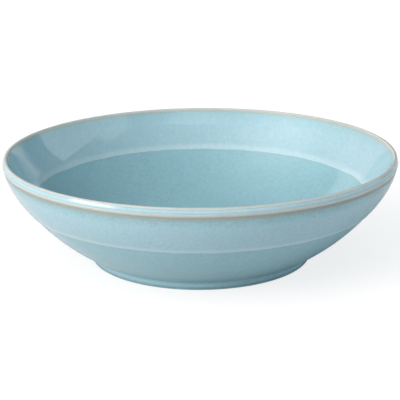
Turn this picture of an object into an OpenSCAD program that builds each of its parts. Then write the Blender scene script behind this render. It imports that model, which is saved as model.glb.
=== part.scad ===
// Round stoneware serving bowl: a thrown clay body on a turned foot ring, with six fired glaze
// coats. The rim is dipped a second time down to the crease ring, so the coats above the crease are
// thicker and end there in a small raised edge. Towards every other edge a coat feathers out and
// the clay shows: along the lip, along the bead under the rim band, and at the dry foot.
// Origin: centre of the foot ring's resting face. +Z runs up the bowl's axis.

/* [Bowl] */
// Widest diameter, across the bead of the rim
bowl_d = 300; // [250:1:360]
// Height from the table to the top of the lip
bowl_h = 81.5; // [70:0.5:110]

/* [Foot] */
// Outer diameter of the foot ring
foot_d = 169.2; // [130:0.1:210]
// Height at which the wall springs from the foot ring
foot_h = 5.9; // [5:0.1:9]
// Width of the foot ring, from its outer to its inner side
foot_w = 8; // [5:0.1:16]
// Radius of the foot ring's two lower edges
foot_edge_r = 0.8; // [0.4:0.1:0.9]
// Radius of the cove between the foot ring and the wall
cove_r = 4; // [1:0.1:6]
// Height of the hollow underside above the table
recess_h = 4.5; // [3.8:0.1:6]
// Radius between the hollow underside and the foot ring
recess_r = 2; // [0.6:0.1:2.4]
// Height of the dry strip that is wiped clean of glaze at the foot
dry_h = 1; // [0.9:0.1:2.4]

/* [Wall] */
// Distance of the crease ring inside the widest radius
crease_in = 17.7; // [10:0.1:30]
// Height of the crease ring on the outside
crease_h = 45.5; // [36:0.1:56]
// Thickness of the clay at the crease ring
crease_wall = 6.6; // [4:0.1:8]
// Swell of the wall between the foot and the crease
lower_swell = 3.1; // [1:0.1:5]
// Swell of the wall between the crease and the rim
upper_swell = 1.9; // [0.5:0.1:3.5]
// Thickness of the clay floor
floor_t = 7.5; // [5:0.1:11]
// Distance of the floor's inside corner within the foot ring's outer radius
floor_in = 5; // [0:0.1:20]
// Radius of the floor's inside corner
floor_r = 40; // [10:1:60]

/* [Rim] */
// Height of the rim band, from the bead's edge to the top of the lip
band_h = 4.8; // [4:0.1:8]
// Distance that the rim band leans in from the bead to the lip
band_lean = 1.3; // [0.8:0.05:2]
// Depth of the hollow in the clay that holds the rim band's glaze
band_hollow = 0.4; // [0.2:0.05:0.8]
// Swell of the glaze in the rim band
band_swell = 0.15; // [0.05:0.05:0.3]
// Width of bare clay along the bead, above its edge
bead_line = 0.7; // [0.65:0.05:1]
// Radius of the bead's edge
bead_r = 1; // [0.4:0.1:1.1]
// Thickness of the lip
lip_w = 2; // [1.5:0.1:6]
// Radius of the lip's outer edge
lip_r = 0.8; // [0.4:0.05:0.9]
// Radius of the lip's inner edge
lip_inner_r = 1; // [0.4:0.05:1.6]
// Height of bare clay outside the lip
lip_line = 0.7; // [0.65:0.05:2]
// Width of bare clay inside the lip
lip_inside = 1.4; // [0.8:0.1:5]
// Width of bare clay on the neck, under the bead
neck_w = 3.1; // [2:0.1:8]
// Depth of the hollow in the neck, under the bead
neck_hollow = 0.2; // [0.05:0.05:0.25]

/* [Glaze] */
// Thickness of one coat
coat_t = 0.5; // [0.3:0.05:0.8]
// Thickness that the second dip adds above the crease ring
second_t = 0.4; // [0.2:0.05:0.6]
// Thickness of a coat at an edge where it feathers out
feather_t = 0.15; // [0.15:0.01:0.25]
// Distance over which a coat feathers out
feather_w = 5; // [1:0.5:10]

/* [Hidden] */
arc_steps = 8;
wall_steps = 16;
turn_steps = 180;

bowl_r = bowl_d / 2;
foot_r = foot_d / 2;
foot_in_r = foot_r - foot_w;
upper_coat_t = coat_t + second_t;

// Corners of the section, as [radius, height]
spring = [foot_r, foot_h];
crease = [bowl_r - crease_in, crease_h];
bead = [bowl_r, bowl_h - band_h];
lip_out = [bowl_r - band_lean, bowl_h];
lip_in = [lip_out.x - lip_w, bowl_h];
crease_inside = crease + crease_wall * left_of(bead - spring);
floor_corner = [foot_r - floor_in, recess_h + floor_t];
floor_centre = [0, floor_corner.y];
underside_centre = [0, recess_h];
recess_corner = [foot_in_r, recess_h];
foot_in = [foot_in_r, 0];
foot_out = [foot_r, 0];

function unit(v) = v / norm(v);
function left_of(v) = unit([-v.y, v.x]);
function tail(path) = [for (i = [1:len(path) - 1]) path[i]];
function reversed(path) = [for (i = [len(path) - 1:-1:0]) path[i]];

// Point at share t of the arc from p to q whose middle stands out to the right by the swell
function arc_point(p, q, swell, t) =
    let (half = norm(q - p) / 2,
         spread = 2 * atan(swell / half),
         r = half / sin(spread),
         along = unit(q - p),
         at = (2 * t - 1) * spread)
    (p + q) / 2 + r * sin(at) * along - r * (cos(at) - cos(spread)) * left_of(along);

// Part of that arc, between the shares t0 and t1
function arc(p, q, swell, t0 = 0, t1 = 1, steps = arc_steps) =
    [for (i = [0:steps]) arc_point(p, q, swell, t0 + (t1 - t0) * i / steps)];

// Angle that a path turns left at b, on its way from a to c
function turn(a, b, c) = atan2(cross(b - a, c - b), (b - a) * (c - b));

// Length that a rounding of radius r takes up on each side of the corner b
function reach(a, b, c, r) = r * tan(abs(turn(a, b, c)) / 2);

// The corner b between a and c, rounded with radius r
function rounded(a, b, c, r) =
    let (w = reach(a, b, c, r),
         p = b + w * unit(a - b),
         q = b + w * unit(c - b))
    arc(p, q, norm(q - p) / 2 * tan(turn(a, b, c) / 4));

// Lengths of the four wall arcs, near enough to place points along them
lower_len = norm(crease - spring);
upper_len = norm(bead - crease);
inside_upper_len = norm(crease_inside - lip_in);
inside_lower_len = norm(floor_corner - crease_inside);

// Where the upper coat ends on the outside wall, under the neck
neck_share = 1 - neck_w / upper_len;
neck_low = arc_point(crease, bead, upper_swell, neck_share);

// Points just beside a corner on a wall arc, which give the wall's direction there
near = 0.02;
spring_side = arc_point(spring, crease, lower_swell, near);
bead_side = arc_point(neck_low, bead, -neck_hollow, 1 - near);
lip_side = arc_point(lip_in, crease_inside, -upper_swell, near);
floor_side = arc_point(crease_inside, floor_corner, -lower_swell, 1 - near);

// Where the roundings and the coats' edges lie along the wall arcs
cove_share = reach(foot_out, spring, spring_side, cove_r) / lower_len;
bead_share = 1 - reach(bead_side, bead, lip_out, bead_r) / norm(bead - neck_low);
lip_share = lip_inside / inside_upper_len;
floor_share = 1 - reach(floor_side, floor_corner, floor_centre, floor_r) / inside_lower_len;

// The clay's surface, in the order it runs: underside, foot, outside, rim, inside
underside = concat(
    [underside_centre],
    rounded(underside_centre, recess_corner, foot_in, recess_r),
    [[foot_in_r, dry_h]]);
dry_foot = concat(
    rounded(recess_corner, foot_in, foot_out, foot_edge_r),
    rounded(foot_in, foot_out, spring, foot_edge_r));
lower_wall = concat(
    [[foot_r, dry_h]],
    rounded(foot_out, spring, spring_side, cove_r),
    tail(arc(spring, crease, lower_swell, cove_share, 1, wall_steps)));
outside_band = arc(crease, bead, upper_swell, 0, neck_share, wall_steps);
neck = arc(neck_low, bead, -neck_hollow, 0, bead_share);
bead_edge = rounded(bead_side, bead, lip_out, bead_r);
band_low = bead + bead_line * unit(lip_out - bead);
band_high = lip_out - lip_line * unit(lip_out - bead);
rim_band = arc(band_low, band_high, -band_hollow);
lip = concat(
    rounded(bead, lip_out, lip_in, lip_r),
    rounded(lip_out, lip_in, lip_side, lip_inner_r));
inside_band = arc(lip_in, crease_inside, -upper_swell, lip_share, 1, wall_steps);
well = concat(
    arc(crease_inside, floor_corner, -lower_swell, 0, floor_share, wall_steps),
    tail(rounded(floor_side, floor_corner, floor_centre, floor_r)),
    [floor_centre]);

function last(path) = path[len(path) - 1];
function next_to_last(path) = path[len(path) - 2];

// Thickness at p of a coat that feathers out towards the edge
function feathered(p, edge, full) =
    let (share = min(1, norm(p - edge) / feather_w))
    feather_t + (full - feather_t) * share * (2 - share);

// Section of a coat on a stretch of clay, given its thickness at each point and the points of the
// clay just before and just after the stretch
function coat(before, path, after, thickness) =
    let (run = concat([before], path, [after]))
    concat(path, reversed([for (i = [0:len(path) - 1])
        path[i] - thickness[i] * left_of(run[i + 2] - run[i])]));

module turned(section) {
    rotate_extrude($fn = turn_steps)
        polygon(section);
}

// Thrown and turned clay, bare along the lip, the bead, the neck and the foot
module stoneware_body() {
    color([0.72, 0.71, 0.66])
        turned(concat(underside, dry_foot, lower_wall, tail(outside_band), tail(neck), tail(bead_edge),
                      rim_band, lip, inside_band, tail(well)));
}

// One coat, poured over the floor and up to the crease ring
module well_glaze() {
    color([0.58, 0.75, 0.80])
        turned(coat(next_to_last(inside_band), well, [-foot_r, floor_centre.y],
                    [for (p = well) coat_t]));
}

// Two coats between the crease ring and the lip
module inside_band_glaze() {
    color([0.66, 0.82, 0.86])
        turned(coat(last(lip), inside_band, well[1],
                    [for (p = inside_band) feathered(p, inside_band[0], upper_coat_t)]));
}

// A thick bead of glaze held in the hollow between the lip and the bead
module rim_band_glaze() {
    color([0.70, 0.86, 0.91])
        turned(concat(rim_band, tail(arc(band_high, band_low, -band_swell, 0, 1 - 1 / arc_steps))));
}

// Two coats between the neck and the crease ring
module outside_band_glaze() {
    color([0.60, 0.74, 0.78])
        turned(coat(next_to_last(lower_wall), outside_band, neck[1],
                    [for (p = outside_band) feathered(p, last(outside_band), upper_coat_t)]));
}

// One coat between the crease ring and the dry strip at the foot
module lower_wall_glaze() {
    color([0.52, 0.66, 0.70])
        turned(coat(foot_out, lower_wall, outside_band[1],
                    [for (p = lower_wall) feathered(p, lower_wall[0], coat_t)]));
}

// One coat in the hollow under the floor
module underside_glaze() {
    color([0.55, 0.70, 0.75])
        turned(coat([-foot_r, recess_h], underside, foot_in,
                    [for (p = underside) feathered(p, last(underside), coat_t)]));
}

stoneware_body();
well_glaze();
inside_band_glaze();
rim_band_glaze();
outside_band_glaze();
lower_wall_glaze();
underside_glaze();
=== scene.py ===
import math

import bmesh
import bpy
from mathutils import Matrix, Vector


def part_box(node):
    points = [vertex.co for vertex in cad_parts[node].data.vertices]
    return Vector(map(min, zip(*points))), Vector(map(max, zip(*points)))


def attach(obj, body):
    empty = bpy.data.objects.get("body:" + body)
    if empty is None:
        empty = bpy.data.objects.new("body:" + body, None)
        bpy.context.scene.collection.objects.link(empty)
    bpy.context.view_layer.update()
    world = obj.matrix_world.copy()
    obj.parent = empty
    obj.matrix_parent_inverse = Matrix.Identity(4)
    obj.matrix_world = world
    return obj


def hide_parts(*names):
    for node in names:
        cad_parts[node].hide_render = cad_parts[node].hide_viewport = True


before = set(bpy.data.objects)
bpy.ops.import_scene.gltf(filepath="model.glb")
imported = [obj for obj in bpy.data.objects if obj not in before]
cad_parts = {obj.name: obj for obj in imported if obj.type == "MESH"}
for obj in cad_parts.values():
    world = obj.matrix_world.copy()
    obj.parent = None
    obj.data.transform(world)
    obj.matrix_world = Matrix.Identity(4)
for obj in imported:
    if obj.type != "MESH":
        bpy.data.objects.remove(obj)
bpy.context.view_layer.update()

# Clay body
# The bowl itself: stoneware thrown on a wheel, with the foot ring turned from the same clay when
# it was leather hard. After the firing it is dry at the foot, and it shows through a thin glassy
# film along the lip, the bead and the neck, where the glaze ran off.
MM = 0.001
bowl_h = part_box("stoneware_body")[1].z / MM
foot_in_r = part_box("underside_glaze")[1].x / MM
recess_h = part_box("underside_glaze")[1].z / MM
dry_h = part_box("lower_wall_glaze")[0].z / MM
crease_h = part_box("lower_wall_glaze")[1].z / MM
floor_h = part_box("well_glaze")[0].z / MM
crease_inside = Vector((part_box("well_glaze")[1].x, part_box("inside_band_glaze")[0].z)) / MM
lip_line_inside = Vector((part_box("inside_band_glaze")[1].x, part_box("inside_band_glaze")[1].z)) / MM

bowl_r = 150.0
foot_w = 8.0
foot_h = 5.9
foot_r = foot_in_r + foot_w
floor_in = 5.0
crease_in = 17.7
lower_swell = 3.1
upper_swell = 1.9
neck_w = 3.1
neck_hollow = 0.2
band_h = 4.8
band_lean = 1.3
band_hollow = 0.4
bead_line = 0.7
lip_line = 0.7
lip_w = 2.0

recess_round = 2.0
foot_edge_round = 0.8
cove_round = 4.0
bead_round = 1.0
lip_round = 0.8
lip_inner_round = 1.0
floor_round = 40.0

bead = Vector((bowl_r, bowl_h - band_h))
lip_out = Vector((bowl_r - band_lean, bowl_h))
lip_in = Vector((lip_out.x - lip_w, bowl_h))
crease = Vector((bowl_r - crease_in, crease_h))
spring = Vector((foot_r, foot_h))
floor_corner = Vector((foot_r - floor_in, floor_h))
band_low = bead + bead_line * (lip_out - bead).normalized()
band_high = lip_out - lip_line * (lip_out - bead).normalized()


def left_of(along):
    """The direction to the left of a step along a path."""
    return Vector((-along.y, along.x)).normalized()


def arc(p, q, swell, steps, crowd=1.0):
    """Points on the arc from p to q that stands out to the right by the swell.

    A crowd over 1 sets the points closer together towards p."""
    half = (q - p).length / 2
    spread = 2 * math.atan(swell / half)
    radius = half / math.sin(spread)
    along = (q - p).normalized()
    points = []
    for i in range(steps + 1):
        at = (2 * (i / steps) ** crowd - 1) * spread
        side = radius * (math.cos(at) - math.cos(spread))
        points.append((p + q) / 2 + radius * math.sin(at) * along - side * left_of(along))
    return points


def cut_short(points, length):
    """The points of a path without the given length at its end."""
    points = list(points)
    while (points[-1] - points[-2]).length <= length:
        length -= (points[-1] - points[-2]).length
        points.pop()
    step = points[-1] - points[-2]
    points[-1] = points[-1] - length * step.normalized()
    return points


def rounded(path, leg, radius, steps=12):
    """The path followed by the leg that starts at its end, with that corner rounded."""
    before = path[-1] - path[-2]
    after = leg[1] - leg[0]
    turn = math.atan2(before.x * after.y - before.y * after.x, before.dot(after))
    reach = radius * math.tan(abs(turn) / 2)
    path = cut_short(path, reach)
    leg = cut_short(leg[::-1], reach)[::-1]
    chord = (leg[0] - path[-1]).length
    return path[:-1] + arc(path[-1], leg[0], chord / 2 * math.tan(turn / 4), steps) + leg[1:]


# The clay's path starts on the axis under the bowl, goes round the foot, up the outside and over
# the lip, and comes back to the axis along the inside
wall_steps = 64
hollow_steps = 12
floor_steps = 24
crease_crowd = 1.6
clay = [Vector((0, recess_h)), Vector((foot_in_r, recess_h))]
clay = rounded(clay, [clay[-1], Vector((foot_in_r, dry_h)), Vector((foot_in_r, 0))], recess_round)
clay = rounded(clay, [clay[-1], Vector((foot_r, 0))], foot_edge_round)
clay = rounded(clay, [clay[-1], Vector((foot_r, dry_h)), spring], foot_edge_round)
clay = rounded(clay, arc(crease, spring, -lower_swell, wall_steps)[::-1], cove_round)
upper_wall = cut_short(arc(crease, bead, upper_swell, wall_steps, crease_crowd), neck_w)
neck_low = upper_wall[-1]
clay += upper_wall[1:]
clay += arc(neck_low, bead, -neck_hollow, hollow_steps)[1:]
clay = rounded(clay, [bead, band_low], bead_round)
clay += arc(band_low, band_high, -band_hollow, hollow_steps)[1:]
clay = rounded(clay + [lip_out], [lip_out, lip_in], lip_round)
inside_wall = arc(crease_inside, lip_in, upper_swell, wall_steps, crease_crowd)[::-1]
clay = rounded(clay, inside_wall, lip_inner_round)
clay += arc(crease_inside, floor_corner, -lower_swell, wall_steps)[1:]
clay = rounded(clay, [floor_corner, Vector((0, floor_h))], floor_round, floor_steps)


class Wire:
    """A node's output that takes part in Python arithmetic: each operation adds a Math node."""

    def __init__(self, tree, socket=None):
        self.tree = tree
        self.socket = socket

    def node(self, kind, settings=None, sockets=None, out=0):
        """A new node's output: its settings are set first, then its sockets' values or links."""
        made = self.tree.nodes.new(kind)
        for name, value in (settings or {}).items():
            if name == "stops":
                set_stops(made.color_ramp.elements, value)
            else:
                setattr(made, name, value)
        for name, value in (sockets or {}).items():
            if isinstance(value, Wire):
                self.tree.links.new(value.socket, made.inputs[name])
            else:
                made.inputs[name].default_value = value
        return Wire(self.tree, made.outputs[out] if made.outputs else None)

    def also(self, out):
        """Another output of the same node."""
        return Wire(self.tree, self.socket.node.outputs[out])

    def math(self, operation, a, b=0.0):
        """A Math node on two values."""
        return self.node("ShaderNodeMath", {"operation": operation}, {0: a, 1: b})

    def step(self, low, high):
        """0 below low and 1 above high, with a smooth way between them."""
        return self.node(
            "ShaderNodeMapRange", {"interpolation_type": "SMOOTHSTEP"},
            {"Value": self, "From Min": low, "From Max": high})

    def __add__(self, other):
        return self.math("ADD", self, other)

    def __radd__(self, other):
        return self.math("ADD", other, self)

    def __sub__(self, other):
        return self.math("SUBTRACT", self, other)

    def __rsub__(self, other):
        return self.math("SUBTRACT", other, self)

    def __mul__(self, other):
        return self.math("MULTIPLY", self, other)

    def __rmul__(self, other):
        return self.math("MULTIPLY", other, self)

    def __truediv__(self, other):
        return self.math("DIVIDE", self, other)


def set_stops(elements, stops):
    """Gives a colour ramp its stops, as (place, colour)."""
    elements[0].position, elements[0].color = stops[0]
    elements[-1].position, elements[-1].color = stops[-1]
    for place, shade in stops[1:-1]:
        elements.new(place).color = shade


def wheel():
    """A node tree that turns a flat section about the bowl's axis, as a potter's wheel does."""
    tree = bpy.data.node_groups.new("wheel", "GeometryNodeTree")
    inputs = {
        "Section": "Geometry", "Segments": "Int", "Waver": "Float", "Seed": "Float", "Finish": "Material"}
    for name, kind in inputs.items():
        tree.interface.new_socket(name, in_out="INPUT", socket_type="NodeSocket" + kind)
    tree.interface.new_socket("Turned", in_out="OUTPUT", socket_type="NodeSocketGeometry")
    start = Wire(tree)
    given = start.node("NodeGroupInput", out="Section")

    # The section stands in the XZ plane; for the sweep it lies flat beside the circular path
    path_r = 100 * MM
    weld = 0.001 * MM
    place = start.node("GeometryNodeInputPosition")
    radius = place.node("ShaderNodeSeparateXYZ", sockets={0: place}, out="X")
    flat = place.node("ShaderNodeCombineXYZ", sockets={"X": radius - path_r, "Y": 0 - radius.also("Z")})
    line = given.node("GeometryNodeMeshToCurve", sockets={"Mesh": given})
    line = line.node("GeometryNodeSetPosition", sockets={"Geometry": line, "Position": flat})
    path = start.node(
        "GeometryNodeCurvePrimitiveCircle",
        sockets={"Resolution": given.also("Segments"), "Radius": path_r})
    path = path.node("GeometryNodeSetCurveNormal", {"mode": "Z_UP"}, {"Curve": path})
    shape = path.node("GeometryNodeCurveToMesh", sockets={"Curve": path, "Profile Curve": line})
    shape = shape.node("GeometryNodeMergeByDistance", sockets={"Geometry": shape, "Distance": weld})

    # A dip edge runs unevenly down the wall, by up to the waver
    waves_per_radius = 5.0
    wave_detail = 4.0
    wave_low = 0.25
    wave_high = 0.75
    down_wall = (-0.65, -0.65, 0)
    down_only = (0, 0, -0.76)
    across = place.node("ShaderNodeVectorMath", {"operation": "MULTIPLY"}, {0: place, 1: (1, 1, 0)})
    outward = across.node("ShaderNodeVectorMath", {"operation": "NORMALIZE"}, {0: across})
    wave = outward.node(
        "ShaderNodeTexNoise", {"noise_dimensions": "4D"},
        {"Vector": outward, "W": given.also("Seed"), "Scale": waves_per_radius, "Detail": wave_detail},
        out="Fac")
    weight = start.node(
        "GeometryNodeInputNamedAttribute", {"data_type": "FLOAT"}, {"Name": "waver"}, out="Attribute")
    run_down = wave.step(wave_low, wave_high) * weight * given.also("Waver")
    shift = outward.node(
        "ShaderNodeVectorMath", {"operation": "MULTIPLY_ADD"}, {0: outward, 1: down_wall, 2: down_only})
    shift = shift.node("ShaderNodeVectorMath", {"operation": "SCALE"}, {0: shift, "Scale": run_down})
    shape = shape.node("GeometryNodeSetPosition", sockets={"Geometry": shape, "Offset": shift})

    shape = shape.node("GeometryNodeSetShadeSmooth", sockets={"Geometry": shape})
    shape = shape.node("GeometryNodeRealizeInstances", sockets={"Geometry": shape})
    shape = shape.node(
        "GeometryNodeSetMaterial", sockets={"Geometry": shape, "Material": given.also("Finish")})
    start.node("NodeGroupOutput", sockets={"Turned": shape})
    return tree


wheel_tree = wheel()
segments = 256


def turn(node, section, closed, finish, slot, depths=None, wavers=None, waver=0.0, seed=0.0):
    """Turns a section, given in millimetres, into the piece that stands for a node of the frame."""
    mesh = bpy.data.meshes.new(node + "_section")
    edges = [(i, i + 1) for i in range(len(section) - 1)]
    if closed:
        edges.append((len(section) - 1, 0))
    mesh.from_pydata([(p.x * MM, 0, p.y * MM) for p in section], edges, [])
    for name, values in (("glaze_depth", depths), ("waver", wavers)):
        if values:
            mesh.attributes.new(name, "FLOAT", "POINT").data.foreach_set("value", values)
    blank = bpy.data.objects.new(node + "_blank", mesh)
    bpy.context.scene.collection.objects.link(blank)
    modifier = blank.modifiers.new("wheel", "NODES")
    modifier.node_group = wheel_tree
    given = {"Segments": segments, "Waver": waver * MM, "Seed": seed, "Finish": finish}
    for socket in wheel_tree.interface.items_tree:
        if socket.name in given:
            modifier[socket.identifier] = given[socket.name]
    evaluated = blank.evaluated_get(bpy.context.evaluated_depsgraph_get())
    turned = bpy.data.meshes.new_from_object(evaluated)
    bpy.data.objects.remove(blank)

    faces = bmesh.new()
    faces.from_mesh(turned)
    bmesh.ops.recalc_face_normals(faces, faces=faces.faces)
    faces.to_mesh(turned)
    faces.free()
    piece = bpy.data.objects.new("turned_" + node, turned)
    bpy.context.scene.collection.objects.link(piece)
    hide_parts(node)
    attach(piece, "root")


def colour(red, green, blue):
    """A colour written in screen values from 0 to 255, as the shader's own values."""
    return tuple(((c / 255 + 0.055) / 1.055) ** 2.4 for c in (red, green, blue)) + (1.0,)


def noise(start, place, size, detail=2.0, seed=0.0):
    """A noise of about the given grain, in millimetres."""
    return start.node(
        "ShaderNodeTexNoise", {"noise_dimensions": "4D"},
        {"Vector": place, "W": seed, "Scale": 1 / (size * MM), "Detail": detail}, out="Fac")


def blend(start, factor, first, second):
    """Two colours mixed by a factor; 6, 7 and 2 are the Mix node's sockets for colours."""
    return start.node(
        "ShaderNodeMix", {"data_type": "RGBA"}, {"Factor": factor, 6: first, 7: second}, out=2)


def new_material(name):
    """A material with its shader and a wire to start its nodes from."""
    material = bpy.data.materials.new(name)
    material.use_nodes = True
    shader = material.node_tree.nodes["Principled BSDF"]
    return material, shader, Wire(material.node_tree)


def feed(shader, **wires):
    """Links wires to the shader's sockets, named with _ for a space."""
    for name, wire in wires.items():
        wire.tree.links.new(wire.socket, shader.inputs[name.replace("_", " ")])


film_colour = colour(204, 211, 207)
film_dark = colour(184, 192, 187)
# The neck's grey-olive is partly the thin film's own tint and partly painted shade where the neck lies
# under the bead
neck_tint_and_shade = colour(145, 160, 157)
foot_colour = colour(146, 184, 194)
dry_colour = colour(196, 189, 174)
dry_dark = colour(166, 158, 143)


def clay_material():
    """Fired clay: dry and sandy on the foot's face, and under a thin glassy film above it, with painted
    shade darkening the neck under the bead.
    """
    dry_end = 0.15
    film_start = 0.4
    foot_fade = 3
    foot_end = 5
    neck_end = bead.y - 1.8
    crest_start = bead.y - 1.0
    cloud_size = 9.0
    sand_size = 0.7
    speck_size = 1.6
    speck_from = 0.66
    speck_to = 0.74
    speck_share = 0.3
    dry_rough = 0.85
    film_smoothing = 0.5
    sand_h = 0.04
    sand_strength = 0.6

    material, shader, start = new_material("stoneware_clay")
    place = start.node("ShaderNodeTexCoord", out="Object")
    height = start.node("ShaderNodeSeparateXYZ", sockets={0: place}, out="Z")
    film = height.step(dry_end * MM, film_start * MM)
    foot = 1 - height.step(foot_fade * MM, foot_end * MM)
    # Painted shade: below the bead's crest the neck gets the darker neck colour, while the crest and the
    # lip keep the film colour
    above_neck_shade = height.step(neck_end * MM, crest_start * MM)
    cloud = noise(start, place, cloud_size, detail=3.0)
    sand = noise(start, place, sand_size, detail=2.0, seed=3.0)
    speck = noise(start, place, speck_size, detail=1.0, seed=8.0).step(speck_from, speck_to)
    film_and_shade = blend(start, above_neck_shade, neck_tint_and_shade, blend(start, cloud, film_colour, film_dark))
    film_and_shade = blend(start, foot, film_and_shade, foot_colour)
    dry = blend(start, sand, dry_colour, dry_dark)
    base = blend(start, speck * speck_share, blend(start, film, dry, film_and_shade), dry_dark)
    rough = dry_rough - film_smoothing * film
    bump = start.node(
        "ShaderNodeBump",
        sockets={"Strength": sand_strength, "Distance": sand_h * MM, "Height": sand + cloud}, out="Normal")
    feed(shader, Base_Color=base, Roughness=rough, Normal=bump)
    return material


turn("stoneware_body", clay, closed=False, finish=clay_material(), slot="stoneware")

# Well glaze
# One coat of pale blue glaze, poured over the floor and swilled up the wall to the crease ring.
# It levels to a smooth glossy skin about half a millimetre thick.
coat_t = 0.5

outward = [
    -left_of(clay[min(i + 1, len(clay) - 1)] - clay[max(i - 1, 0)]) for i in range(len(clay))]


def nearest(point):
    """The place in the clay's path that lies nearest to a point."""
    return min(range(len(clay)), key=lambda i: (clay[i] - Vector(point)).length)


def coat(first, last, thickness, depth):
    """A coat on the clay between two places of its path: its section, depths and lengths of wall.

    thickness and depth are given the lengths of wall back to first and on to last. The depth is what
    the colour goes by."""
    run = [0.0]
    for i in range(first + 1, last + 1):
        run.append(run[-1] + (clay[i] - clay[i - 1]).length)
    under = clay[first:last + 1]
    thick = [thickness(s, run[-1] - s) for s in run]
    depths = [depth(s, run[-1] - s) for s in run]
    over = [p + t * n for p, t, n in zip(under, thick, outward[first:last + 1])]
    return under + over[::-1], depths + depths[::-1], run + run[::-1]


film_blue = colour(160, 175, 174)
thin_blue = colour(143, 180, 190)
single_blue = colour(147, 193, 204)
double_blue = colour(163, 201, 212)
roll_blue = colour(183, 213, 221)
deepest = 1.25
film_depth = 0.075
shades = [(0.2, film_blue), (0.35, thin_blue), (0.525, single_blue), (0.9, double_blue), (1.2, roll_blue)]


def glaze(name, seed, mottle, gloss, under=film_colour, specked=0.0):
    """Pale blue glaze whose colour follows its depth: what is under it shows where it is thin.

    mottle is how far clouds change the depth that shows, gloss is the roughness, and flecks of what
    is under the glaze come through where it is less deep than specked."""
    cloud_size = 14.0
    break_size = 2.6
    grain_size = 0.8
    peel_size = 5.5
    fleck_size = 1.3
    fleck_from = 0.5
    fleck_to = 0.72
    fleck_share = 0.45
    fleck_thin = 0.5
    fleck_cloud = 0.2
    break_depth = 0.2
    grain_tone = 0.2
    break_tone = 0.16
    gloss_change = 0.03
    peel_h = 0.03
    peel_strength = 0.5
    peel_grain = 0.1

    material, shader, start = new_material(name)
    place = start.node("ShaderNodeTexCoord", out="Object")
    depth = start.node("ShaderNodeAttribute", {"attribute_name": "glaze_depth"}, out="Fac")
    cloud = noise(start, place, cloud_size, detail=4.0, seed=seed) - 0.5
    break_up = noise(start, place, break_size, detail=3.0, seed=seed + 5) - 0.5
    grain = noise(start, place, grain_size, detail=2.0, seed=seed + 9)
    peel = noise(start, place, peel_size, detail=1.5, seed=seed + 2)
    fleck = noise(start, place, fleck_size, detail=2.0, seed=seed + 7)
    bare = (fleck + (specked - depth) * fleck_thin + cloud * fleck_cloud).step(fleck_from, fleck_to)
    shown = depth + break_up * break_depth + cloud * mottle
    stops = [(at / deepest, shade) for at, shade in [(film_depth, under)] + shades]
    base = start.node("ShaderNodeValToRGB", {"stops": stops}, {"Fac": shown / deepest}, out="Color")
    base = blend(start, bare * fleck_share, base, under)
    tone = 1 + (grain - 0.5) * grain_tone + break_up * break_tone
    base = start.node(
        "ShaderNodeVectorMath", {"operation": "SCALE"}, {0: base, "Scale": tone}, out="Vector")
    rough = gloss + cloud * gloss_change + (grain - 0.5) * gloss_change
    bump = start.node(
        "ShaderNodeBump",
        sockets={"Strength": peel_strength, "Distance": peel_h * MM, "Height": peel + grain * peel_grain},
        out="Normal")
    feed(shader, Base_Color=base, Roughness=rough, Normal=bump)
    return material


# The section is opened at its middle, so that it starts and ends on the axis
crease_inside_at = nearest(crease_inside)
section, depths, _ = coat(
    crease_inside_at, len(clay) - 1,
    thickness=lambda s, rest: coat_t,
    depth=lambda s, rest: coat_t)
half = len(section) // 2
well_finish = glaze("well_glaze", seed=1.0, mottle=0.12, gloss=0.07)
turn("well_glaze", section[half:] + section[:half], closed=False, finish=well_finish,
     slot="single_glaze", depths=depths[half:] + depths[:half])

# Inside band glaze
# The bowl's second dip, rim down, as far as the crease ring: two coats lie here, paler than one.
# The dip leaves a soft raised edge at the crease, and the glaze runs thin towards the lip.
second_t = 0.4
full_t = coat_t + second_t
edge_t = 0.06
feather_w = 12.0
bare_depth = 0.05
slow_widths = 4
dip_step = 0.1
dip_shoulder = 1.2
roll_t = 0.1
roll_at = 1.5
roll_spread = 0.9
roll_crest = 1.4
waver_all = 0.6
waver_none = 6.0
dip_waver = 1.0
olive_film = colour(180, 191, 184)


def smooth(length, low, high):
    """0 below low and 1 above high, with a smooth way between them."""
    share = min(1.0, max(0.0, (length - low) / (high - low)))
    return share * share * (3 - 2 * share)


def thinned(length):
    """Thickness at a length from the edge where the glaze ran off."""
    share = min(1.0, length / feather_w)
    return edge_t + (full_t - edge_t) * share * (2 - share)


def dipped(length):
    """Thickness of both coats at a length from the dip edge, which is rounded and a little raised."""
    share = min(1.0, length / dip_shoulder)
    raised = roll_t * math.exp(-((length - roll_at) / roll_spread) ** 2)
    return coat_t + dip_step + (second_t - dip_step) * math.sqrt(1 - (1 - share) ** 2) + raised * share


def two_coats(bare, dip, bare_from, bare_w, quick, roll_w, roll_depth):
    """Depth that the colour goes by, at lengths from the bare edge and from the dip edge.

    It gains the quick part between bare_from and bare_w and the rest within slow_widths times bare_w.
    The roll at the dip edge adds roll_depth, which fades out at roll_w."""
    thin = bare_depth + quick * smooth(bare, bare_from, bare_w)
    thin += (full_t - bare_depth - quick) * smooth(bare, 0, slow_widths * bare_w)
    return thin + roll_depth * (1 - smooth(dip, roll_crest, roll_w))


def dip_weights(lengths):
    """How far each point of a coat follows the waver of its dip edge."""
    return [1 - smooth(length, waver_all, waver_none) for length in lengths]


section, depths, run = coat(
    nearest(lip_line_inside), crease_inside_at,
    thickness=lambda s, rest: min(thinned(s), dipped(rest)),
    depth=lambda s, rest: two_coats(
        s, rest, bare_from=0.4, bare_w=3.2, quick=0.55, roll_w=6.5, roll_depth=0.34))
inside_finish = glaze(
    "inside_band_glaze", seed=12.0, mottle=0.15, gloss=0.045, under=olive_film, specked=0.75)
turn("inside_band_glaze", section, closed=True, finish=inside_finish, slot="double_glaze",
     depths=depths, wavers=dip_weights([max(run) - s for s in run]), waver=dip_waver, seed=3.0)

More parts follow.
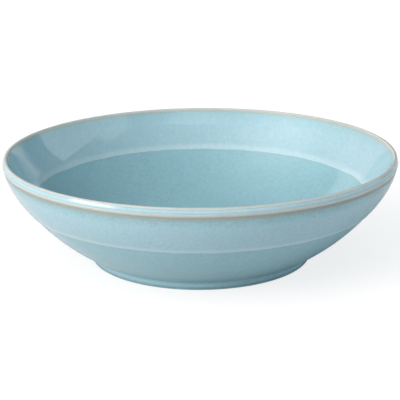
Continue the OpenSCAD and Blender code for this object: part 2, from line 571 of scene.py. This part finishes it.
# Rim band glaze
# Glaze that gathered between the lip and the bead of the rim: a narrow, thick, glossy stripe
# with the clay's own colour on both sides of it.
band_swell = 0.15
band_steps = 16
band_edge_depth = 0.35
band_gain = 0.6
band_fullness = 0.6
band_thin_from = 0.06
band_thin_to = 0.3
band_under_depth = 0.4


def band_depth(share):
    """Depth at a share of the way from the lip down to the bead; it runs thin at the lip."""
    middle = (4 * share * (1 - share)) ** band_fullness
    return bare_depth + (band_edge_depth + band_gain * middle) * smooth(share, band_thin_from, band_thin_to)


hollow = clay[nearest(band_low):nearest(band_high)]
crown = arc(band_high, band_low, -band_swell, band_steps)[:-1]
depths = [band_under_depth] * len(hollow) + [band_depth(i / band_steps) for i in range(band_steps)]
rim_finish = glaze("rim_band_glaze", seed=23.0, mottle=0.08, gloss=0.08)
turn("rim_band_glaze", hollow + crown, closed=True, finish=rim_finish, slot="rim_glaze", depths=depths)

# Outside band glaze
# The outside of the second dip: two coats from the neck down to the crease ring, with the same
# soft raised edge there. Towards the neck the glaze breaks into the neck's grey, which is partly painted
# shade.
crease_at = nearest(crease)
section, depths, run = coat(
    crease_at, nearest(neck_low),
    thickness=lambda s, rest: min(dipped(s), thinned(rest)),
    depth=lambda s, rest: two_coats(
        rest, s, bare_from=-0.72, bare_w=2.4, quick=0.4, roll_w=5.6, roll_depth=0.32))
# Where this glaze runs thin near the neck, the neck colour shows through, its painted shade included
outside_finish = glaze(
    "outside_band_glaze", seed=34.0, mottle=0.15, gloss=0.14, under=neck_tint_and_shade, specked=0.75)
turn("outside_band_glaze", section, closed=True, finish=outside_finish, slot="double_glaze",
     depths=depths, wavers=dip_weights(run), waver=dip_waver, seed=7.0)

# Lower wall glaze
# One coat on the outside between the crease ring and the foot. It runs over the cove and gathers
# a little deeper there, and it is wiped off just above the table.
wiped_w = 1.0
wiped_depth = 0.2
pool_depth = 0.34
pool_from = 4
pool_to = 9


def wiped(length, edge):
    """What one coat measures at a length from its wiped edge, where it measures edge."""
    return edge + (coat_t - edge) * smooth(length, 0, wiped_w)


section, depths, _ = coat(
    nearest((foot_r, dry_h)), crease_at,
    thickness=lambda s, rest: wiped(s, edge_t),
    depth=lambda s, rest: wiped(s, wiped_depth) + pool_depth * (1 - smooth(s, pool_from, pool_to)))
lower_finish = glaze("lower_wall_glaze", seed=45.0, mottle=0.12, gloss=0.16)
turn("lower_wall_glaze", section, closed=True, finish=lower_finish, slot="single_glaze", depths=depths)

# Underside glaze
# One coat in the hollow inside the foot ring, plain and glossy.
# It is wiped off with the foot, so that the bowl doesn't stick to the kiln shelf.
section, depths, _ = coat(
    0, nearest((foot_in_r, dry_h)),
    thickness=lambda s, rest: wiped(rest, edge_t),
    depth=lambda s, rest: wiped(rest, wiped_depth))
underside_finish = glaze("underside_glaze", seed=56.0, mottle=0.12, gloss=0.16)
turn("underside_glaze", section, closed=False, finish=underside_finish, slot="single_glaze", depths=depths)

# Floor
# The plain white table top of a photo studio, with the bowl's own soft shadow on it. It is clear
# from below and open under the foot ring, so that the underside can be looked at in the light.
floor_size = 12.0
floor_gap = 0.05
floor_bounce = 0.64
floor_seen = 0.3
floor_mirrored = 0.95
floor_glow = 0.78
open_r = foot_r - 1.2
open_edge = 0.2
bpy.ops.mesh.primitive_plane_add(size=floor_size, location=(0, 0, -floor_gap * MM))
floor = bpy.context.object
floor.name = "studio_floor"


def seen_rays(start):
    """1 for the rays that show the background: those of the camera, straight or through glass."""
    rays = start.node("ShaderNodeLightPath", out="Is Camera Ray")
    return rays.math("MAXIMUM", rays, rays.also("Is Transmission Ray"))


def floor_material():
    """Matt white that looks white to the camera, and is clear from below and under the foot."""
    material = bpy.data.materials.new("white_table")
    material.use_nodes = True
    material.node_tree.nodes.clear()
    start = Wire(material.node_tree)
    seen = seen_rays(start)
    glossy = start.node("ShaderNodeLightPath", out="Is Glossy Ray")
    level = floor_bounce + (floor_seen - floor_bounce) * seen + (floor_mirrored - floor_bounce) * glossy
    white = start.node("ShaderNodeCombineColor", sockets={0: level, 1: level, 2: level})
    matt = start.node("ShaderNodeBsdfDiffuse", sockets={"Color": white})
    glow = start.node("ShaderNodeEmission", sockets={"Strength": floor_glow * seen})
    matt = start.node("ShaderNodeAddShader", sockets={0: matt, 1: glow})
    clear = start.node("ShaderNodeBsdfTransparent")
    below = start.node("ShaderNodeNewGeometry", out="Backfacing")
    place = start.node("ShaderNodeTexCoord", out="Object")
    radius = start.node("ShaderNodeVectorMath", {"operation": "LENGTH"}, {0: place}, out="Value")
    under_foot = 1 - radius.step(open_r * MM, (open_r + open_edge) * MM)
    opened = start.math("MAXIMUM", below, under_foot)
    both = start.node("ShaderNodeMixShader", sockets={"Fac": opened, 1: matt, 2: clear})
    start.node("ShaderNodeOutputMaterial", sockets={"Surface": both})
    return material


floor.data.materials.append(floor_material())

# Light
# A white studio room lit by a broad soft light on the left, with pale low walls and a softer light
# overhead. A low lamp on the left draws the highlight along the rim.
key_bearing = 48
key_rise = 40
key_narrow = 18.0
key_level = 6.0
key_tint = (1.11, 0.985, 0.935, 1.0)
wall_low = 0.12
wall_high = 0.34
wall_level = 0.88
side_gain = 0.5
right_gain = 0.75
top_low = 0.5
top_high = 0.9
top_level = 0.6
even_level = 0.07
fill_tint = (0.9, 1.01, 1.08, 1.0)


def toward(bearing, rise):
    """A direction from the bowl; its bearing is counted from the camera to the left."""
    turned = math.radians(bearing)
    raised = math.radians(rise)
    level = math.cos(raised)
    return Vector((-math.sin(turned) * level, -math.cos(turned) * level, math.sin(raised)))


world = bpy.data.worlds.new("white_room")
bpy.context.scene.world = world
world.use_nodes = True
world.node_tree.nodes.clear()
start = Wire(world.node_tree)
along = start.node("ShaderNodeTexCoord", out="Generated")
east = along.node("ShaderNodeSeparateXYZ", sockets={0: along}, out="X")
north = east.also("Y")
up = east.also("Z")
sides = along.math("ABSOLUTE", east)


def lobe(bearing, rise, narrow):
    """A soft round light on the sky, 1 at its middle."""
    facing = along.node(
        "ShaderNodeVectorMath", {"operation": "DOT_PRODUCT"},
        {0: along, 1: toward(bearing, rise)}, out="Value")
    return along.math("EXPONENT", (facing - 1) * narrow)


key = lobe(key_bearing, key_rise, key_narrow)
low_walls = 1 - up.step(wall_low, wall_high)
fill = wall_level * low_walls * (1 + side_gain * sides + right_gain * east)
fill = fill + top_level * up.step(top_low, top_high) + even_level

# The glaze mirrors the room: white walls, a darker gap between the wall on the right and the one
# at the back, a dark ceiling and the sheen of the soft light. Heights are in halves of the square
# room's width, and a slant is the way to the back over the way to the side
sheen_bearing = 68
sheen_narrow = 9.5
sheen_level = 2.6
front_height = 0.98
front_end = -0.18
side_height = 0.735
side_end = 0.62
side_level = 1.35
gap_level = 0.1
back_start = 1.35
back_height = 0.74
back_slant = 0.177
back_level = 0.85
panel_from = 0.87
panel_level = 1.05
ceiling_level = 0.05
least_side = 0.001


def past(wire, place, softness):
    """0 before a place and 1 past it."""
    return wire.step(place - softness, place + softness)


widest = along.math("MAXIMUM", sides, along.math("ABSOLUTE", north))
slant = north / along.math("MAXIMUM", sides, least_side)
on_right = past(east, 0, softness=0.01)
beyond = on_right * past(slant, side_end, softness=0.015)
far = on_right * past(slant, back_start, softness=0.2)
panel = (1 - on_right) * past(slant, panel_from, softness=0.02)
front_top = widest * front_height
side_top = widest * side_height
back_top = back_height * (east - back_slant * north)
top = front_top + past(slant, front_end, softness=0.01) * (side_top - front_top)
top = top + beyond * (back_top - top)
ceiling = past(up - top, 0, softness=0.012)
walls = 1 + on_right * (side_level - 1) + panel * (panel_level - 1)
walls = walls + beyond * (gap_level - side_level) + far * (back_level - gap_level)
room = walls + (ceiling_level - walls) * ceiling
sheen = lobe(sheen_bearing, key_rise, sheen_narrow)
mirrored = along.math("MAXIMUM", room, sheen_level * sheen)

# The camera sees plain white, gloss sees the room, and everything else gets the light
straight = seen_rays(start)
glossy = start.node("ShaderNodeLightPath", out="Is Glossy Ray")
hidden = 1 - along.math("MAXIMUM", straight, glossy)
lights = (
    (key_tint, hidden * key_level * key),
    (fill_tint, hidden * fill),
    ((1, 1, 1, 1), straight + glossy * mirrored))
key_light, fill_light, shown = [
    start.node("ShaderNodeBackground", sockets={"Color": tint, "Strength": strength})
    for tint, strength in lights]
both = start.node("ShaderNodeAddShader", sockets={0: key_light, 1: fill_light})
sky = start.node("ShaderNodeAddShader", sockets={0: both, 1: shown})
start.node("ShaderNodeOutputWorld", sockets={"Surface": sky})


def soft_box(name, bearing, rise, distance, width, height, watts, fade):
    """A rectangular lamp that faces the bowl and fades towards its edges."""
    lamp = bpy.data.lights.new(name, "AREA")
    lamp.shape = "RECTANGLE"
    lamp.size = width
    lamp.size_y = height
    lamp.energy = watts
    lamp.color = key_tint[:3]
    lamp.use_nodes = True
    start = Wire(lamp.node_tree)
    on_lamp = start.node("ShaderNodeNewGeometry", out="Parametric")
    u = start.node("ShaderNodeSeparateXYZ", sockets={0: on_lamp}, out="X")
    v = u.also("Y")
    glow = u.step(0, fade) * (1 - u).step(0, fade) * v.step(0, fade) * (1 - v).step(0, fade)
    lamp.node_tree.links.new(glow.socket, lamp.node_tree.nodes["Emission"].inputs["Strength"])
    stand = bpy.data.objects.new(name, lamp)
    bpy.context.scene.collection.objects.link(stand)
    away = toward(bearing, rise)
    stand.location = Vector((0, 0, bowl_h * MM / 2)) + distance * away
    stand.rotation_euler = away.to_track_quat("Z", "Y").to_euler()


soft_box("window_box", bearing=60, rise=13, distance=1.6, width=0.95, height=0.5, watts=15, fade=0.25)

# Camera
# The photograph's view: from a little above the table, with a long lens, and with the bowl
# filling the width of the picture.
view_rise = math.radians(16.95)
view_distance = 1.0
view_roll = math.radians(-0.418)
pivot_h = 0.040
aim = Vector((-0.0004, 0, 0.0423))
focal_px = 1293
image_px = 400
camera = bpy.data.cameras.new("photo_view")
camera.sensor_width = 36
camera.lens = camera.sensor_width * focal_px / image_px
tripod = bpy.data.objects.new("photo_view", camera)
bpy.context.scene.collection.objects.link(tripod)
eye = Vector((0, -view_distance * math.cos(view_rise), pivot_h + view_distance * math.sin(view_rise)))
look = (aim - eye).to_track_quat("-Z", "Y").to_matrix().to_4x4()
tripod.matrix_world = Matrix.Translation(eye) @ look @ Matrix.Rotation(view_roll, 4, "Z")
bpy.context.scene.camera = tripod
bpy.context.scene.view_settings.view_transform = "Standard"
